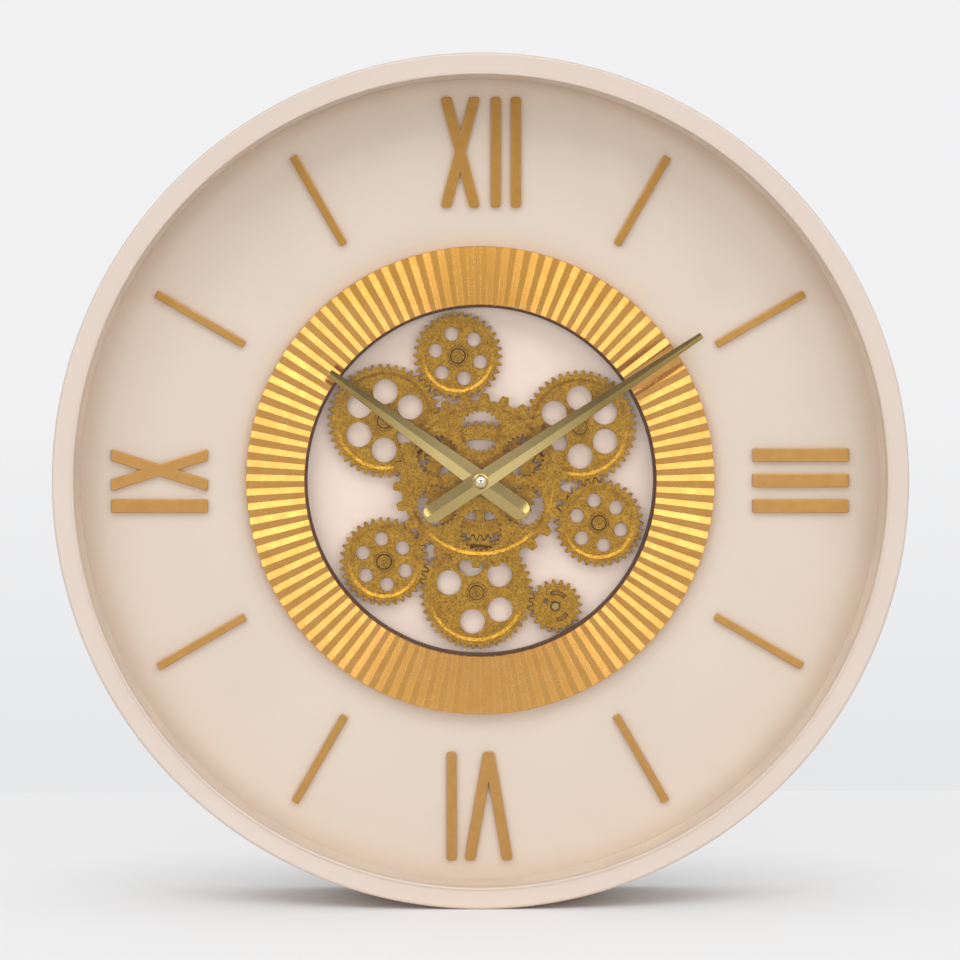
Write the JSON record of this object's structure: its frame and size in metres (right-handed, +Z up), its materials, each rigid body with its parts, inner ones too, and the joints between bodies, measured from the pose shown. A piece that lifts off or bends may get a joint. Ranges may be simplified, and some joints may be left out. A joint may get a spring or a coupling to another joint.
{
  "type": "moving-gears wall clock",
  "caption": "Round glazed quartz wall clock with Roman numerals and a fluted gold ring round a window of turning, meshing gear wheels.",
  "frame": {"origin": "centre of the clock in the plane of the wall, which the rear edge of the case touches", "axes": "+Y into the wall, -Y the way the dial looks, +Z up through twelve o'clock, +X to the right as seen from the front"},
  "size_m": [0.5, 0.075, 0.5],
  "materials": {
    "rim_cream": "cream paint, satin",
    "clear_glass": "clear float glass",
    "seal_grey": "soft",
    "spacer_cream": "satin",
    "dial_cream": "painted, matt",
    "ring_gold": "gold plated",
    "liner_brown": "satin",
    "tray_cream": "matt",
    "numeral_gold": "dark gold, satin",
    "wheel_gold": "antique gold plated",
    "arbor_steel": "turned",
    "bush_brass": "turned",
    "hand_champagne": "lacquered champagne",
    "nut_gold": "polished",
    "movement_black": "moulded, fine grain",
    "gear_white": "moulded",
    "coil_copper": "enamelled copper wire",
    "board_green": "solder mask",
    "rotor_grey": "moulded, with magnet",
    "cell_jacket": "plain jacket",
    "contact_nickel": "nickel plated",
    "panel_brown": "fibreboard, smooth side out",
    "hanger_steel": "zinc plated",
    "pad_grey": "soft foam"
  },
  "bodies": {
    "case": {"case_rim": "rim_cream", "glass": "clear_glass", "glass_seal": "seal_grey", "spacer_ring": "spacer_cream", "dial_board": "dial_cream", "fluted_ring": "ring_gold", "window_liner": "liner_brown", "gear_tray": "tray_cream", "numeral_xii": "numeral_gold", "numeral_iii": "numeral_gold", "numeral_vi": "numeral_gold", "numeral_ix": "numeral_gold", "hour_batons": "numeral_gold", "wheel_posts": "wheel_gold", "post_caps": "wheel_gold", "centre_clip": "wheel_gold", "centre_bush": "bush_brass", "bush_washer": "bush_brass", "bush_nut": "bush_brass", "movement_case": "movement_black", "movement_cover": "movement_black", "movement_coil": "coil_copper", "movement_board": "board_green", "clock_cell": "cell_jacket", "clock_contacts": "contact_nickel", "drive_case": "movement_black", "drive_cover": "movement_black", "drive_coil": "coil_copper", "drive_cells": "cell_jacket", "drive_contacts": "contact_nickel", "drive_screws": "arbor_steel", "back_panel": "panel_brown", "hanger_plate": "hanger_steel", "hanger_rivets": "hanger_steel", "back_screws": "arbor_steel", "dial_screws": "arbor_steel", "tray_screws": "arbor_steel", "wall_pads": "pad_grey"},
    "centre": {"centre_wheel": "wheel_gold", "sun_wheel": "wheel_gold"},
    "large_left": {"large_wheel_left": "wheel_gold"},
    "large_right": {"large_wheel_right": "wheel_gold"},
    "large_bottom": {"large_wheel_bottom": "wheel_gold"},
    "small_top": {"small_wheel_top": "wheel_gold"},
    "small_right": {"small_wheel_right": "wheel_gold"},
    "small_left": {"small_wheel_left": "wheel_gold"},
    "drive": {"drive_pinion": "wheel_gold", "drive_arbor": "bush_brass"},
    "reduction": {"reduction_wheel": "gear_white"},
    "rotor": {"drive_rotor": "rotor_grey"},
    "minute": {"minute_hand": "hand_champagne", "hand_nut": "nut_gold", "minute_arbor": "arbor_steel"},
    "hour": {"hour_hand": "hand_champagne", "hour_wheel": "gear_white"},
    "motion": {"motion_wheel": "gear_white", "set_knob": "movement_black"},
    "switch": {"power_switch": "movement_black"}
  },
  "joints": [
    {"name": "train_turn", "type": "hinge", "parent": "case", "child": "centre", "pos_m": [0, -0.0278, 0], "axis": [0, 1, 0], "continuous": true},
    {"name": "large_left_turn", "type": "hinge", "parent": "case", "child": "large_left", "pos_m": [-0.05731, -0.0278, 0.03567], "axis": [0, 1, 0], "continuous": true},
    {"name": "large_right_turn", "type": "hinge", "parent": "case", "child": "large_right", "pos_m": [0.05954, -0.0278, 0.03179], "axis": [0, 1, 0], "continuous": true},
    {"name": "large_bottom_turn", "type": "hinge", "parent": "case", "child": "large_bottom", "pos_m": [-0.00224, -0.0278, -0.06746], "axis": [0, 1, 0], "continuous": true},
    {"name": "small_top_turn", "type": "hinge", "parent": "case", "child": "small_top", "pos_m": [-0.01345, -0.0278, 0.07439], "axis": [0, 1, 0], "continuous": true},
    {"name": "small_right_turn", "type": "hinge", "parent": "case", "child": "small_right", "pos_m": [0.07115, -0.0278, -0.02554], "axis": [0, 1, 0], "continuous": true},
    {"name": "small_left_turn", "type": "hinge", "parent": "case", "child": "small_left", "pos_m": [-0.0577, -0.0278, -0.04884], "axis": [0, 1, 0], "continuous": true},
    {"name": "drive_turn", "type": "hinge", "parent": "case", "child": "drive", "pos_m": [0.04505, -0.0278, -0.07572], "axis": [0, 1, 0], "continuous": true},
    {"name": "reduction_turn", "type": "hinge", "parent": "case", "child": "reduction", "pos_m": [0.03201, -0.01, -0.07222], "axis": [0, 1, 0], "continuous": true},
    {"name": "rotor_turn", "type": "hinge", "parent": "case", "child": "rotor", "pos_m": [0.02186, -0.01, -0.07591], "axis": [0, 1, 0], "continuous": true},
    {"name": "minute_turn", "type": "hinge", "parent": "case", "child": "minute", "pos_m": [0, -0.0482, 0], "axis": [0, 1, 0], "continuous": true},
    {"name": "hour_turn", "type": "hinge", "parent": "case", "child": "hour", "pos_m": [0, -0.0445, 0], "axis": [0, 1, 0], "continuous": true},
    {"name": "motion_turn", "type": "hinge", "parent": "case", "child": "motion", "pos_m": [0.00562, -0.008, 0.00974], "axis": [0, 1, 0], "continuous": true},
    {"name": "switch_slide", "type": "slide", "parent": "case", "child": "switch", "axis": [1, 0, 0], "range_m": [0, 0.003]}
  ],
  "couplings": [
    {"joint": "large_left_turn", "follows": "train_turn", "ratio": -1.0455},
    {"joint": "large_right_turn", "follows": "train_turn", "ratio": -1.0455},
    {"joint": "large_bottom_turn", "follows": "train_turn", "ratio": -1.0455},
    {"joint": "small_top_turn", "follows": "train_turn", "ratio": 1.3529},
    {"joint": "small_right_turn", "follows": "train_turn", "ratio": 1.3529},
    {"joint": "small_left_turn", "follows": "train_turn", "ratio": 1.3529},
    {"joint": "drive_turn", "follows": "train_turn", "ratio": 2.3},
    {"joint": "reduction_turn", "follows": "train_turn", "ratio": -11.5},
    {"joint": "rotor_turn", "follows": "train_turn", "ratio": 57.5},
    {"joint": "hour_turn", "follows": "minute_turn", "ratio": 0.083333},
    {"joint": "motion_turn", "follows": "minute_turn", "ratio": -0.33333}
  ]
}
